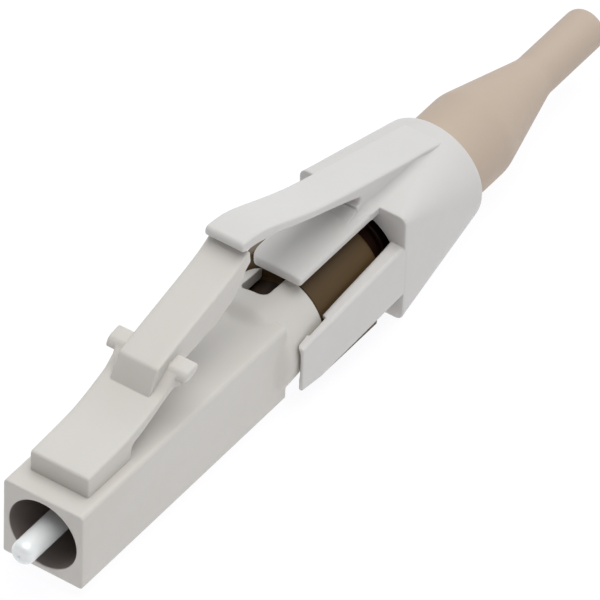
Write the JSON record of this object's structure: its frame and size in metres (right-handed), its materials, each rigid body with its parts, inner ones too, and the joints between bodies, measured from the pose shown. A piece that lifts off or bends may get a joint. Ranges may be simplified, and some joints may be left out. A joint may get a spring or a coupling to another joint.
{
  "type": "lc fibre connector",
  "caption": "Small single-fibre plug with a square nose, ceramic ferrule, spring latch, press trigger over it, brown cam inside a split rear body, and a tapered tan boot.",
  "frame": {"origin": "on the optical axis, in the plane of the housing's front face", "axes": "+Y from the mating face towards the boot, +Z towards the latch, +X to the right seen from the boot looking at the mating face with the latch up"},
  "size_m": [0.0062, 0.0463, 0.0115],
  "materials": {
    "housing_plastic": "fine satin moulded plastic",
    "trigger_plastic": "fine satin moulded plastic, slightly whiter",
    "cam_plastic": "semi-gloss dark brown",
    "boot_rubber": "matte tan elastomer",
    "zirconia": "polished white ceramic",
    "silica": "polished glass",
    "holder_plastic": "satin grey",
    "splice_plastic": "satin, translucent",
    "tube_plastic": "satin",
    "spring_steel": "bright drawn wire",
    "crimp_metal": "annealed",
    "ring_metal": "satin"
  },
  "bodies": {
    "housing": {"front_housing": "housing_plastic", "trigger_body": "trigger_plastic", "rear_tube": "tube_plastic", "cam": "cam_plastic", "crimp_tube": "crimp_metal", "crimp_ring": "ring_metal", "boot": "boot_rubber", "spring": "spring_steel"},
    "ferrule_group": {"ferrule": "zirconia", "fibre_stub": "silica", "ferrule_holder": "holder_plastic", "splice_upper": "splice_plastic", "splice_lower": "splice_plastic", "lead_in_tube": "splice_plastic"},
    "latch": {"latch_arm": "housing_plastic"},
    "trigger": {"trigger_arm": "trigger_plastic"}
  },
  "joints": [
    {"name": "ferrule_float", "type": "slide", "parent": "housing", "child": "ferrule_group", "axis": [0, 1, 0], "range_m": [0, 0.0005], "stiffness_N_per_m": 1500, "deforming": ["spring"]},
    {"name": "latch_flex", "type": "hinge", "parent": "housing", "child": "latch", "pos_m": [0, 0.00465, 0.00312], "axis": [1, 0, 0], "range_deg": [-10, 0]},
    {"name": "trigger_press", "type": "hinge", "parent": "housing", "child": "trigger", "pos_m": [0, 0.0234, 0.00452], "axis": [1, 0, 0], "range_deg": [0, 11], "stiffness_Nm_per_rad": 0.06}
  ],
  "couplings": [
    {"joint": "latch_flex", "follows": "trigger_press", "ratio": -0.909}
  ]
}
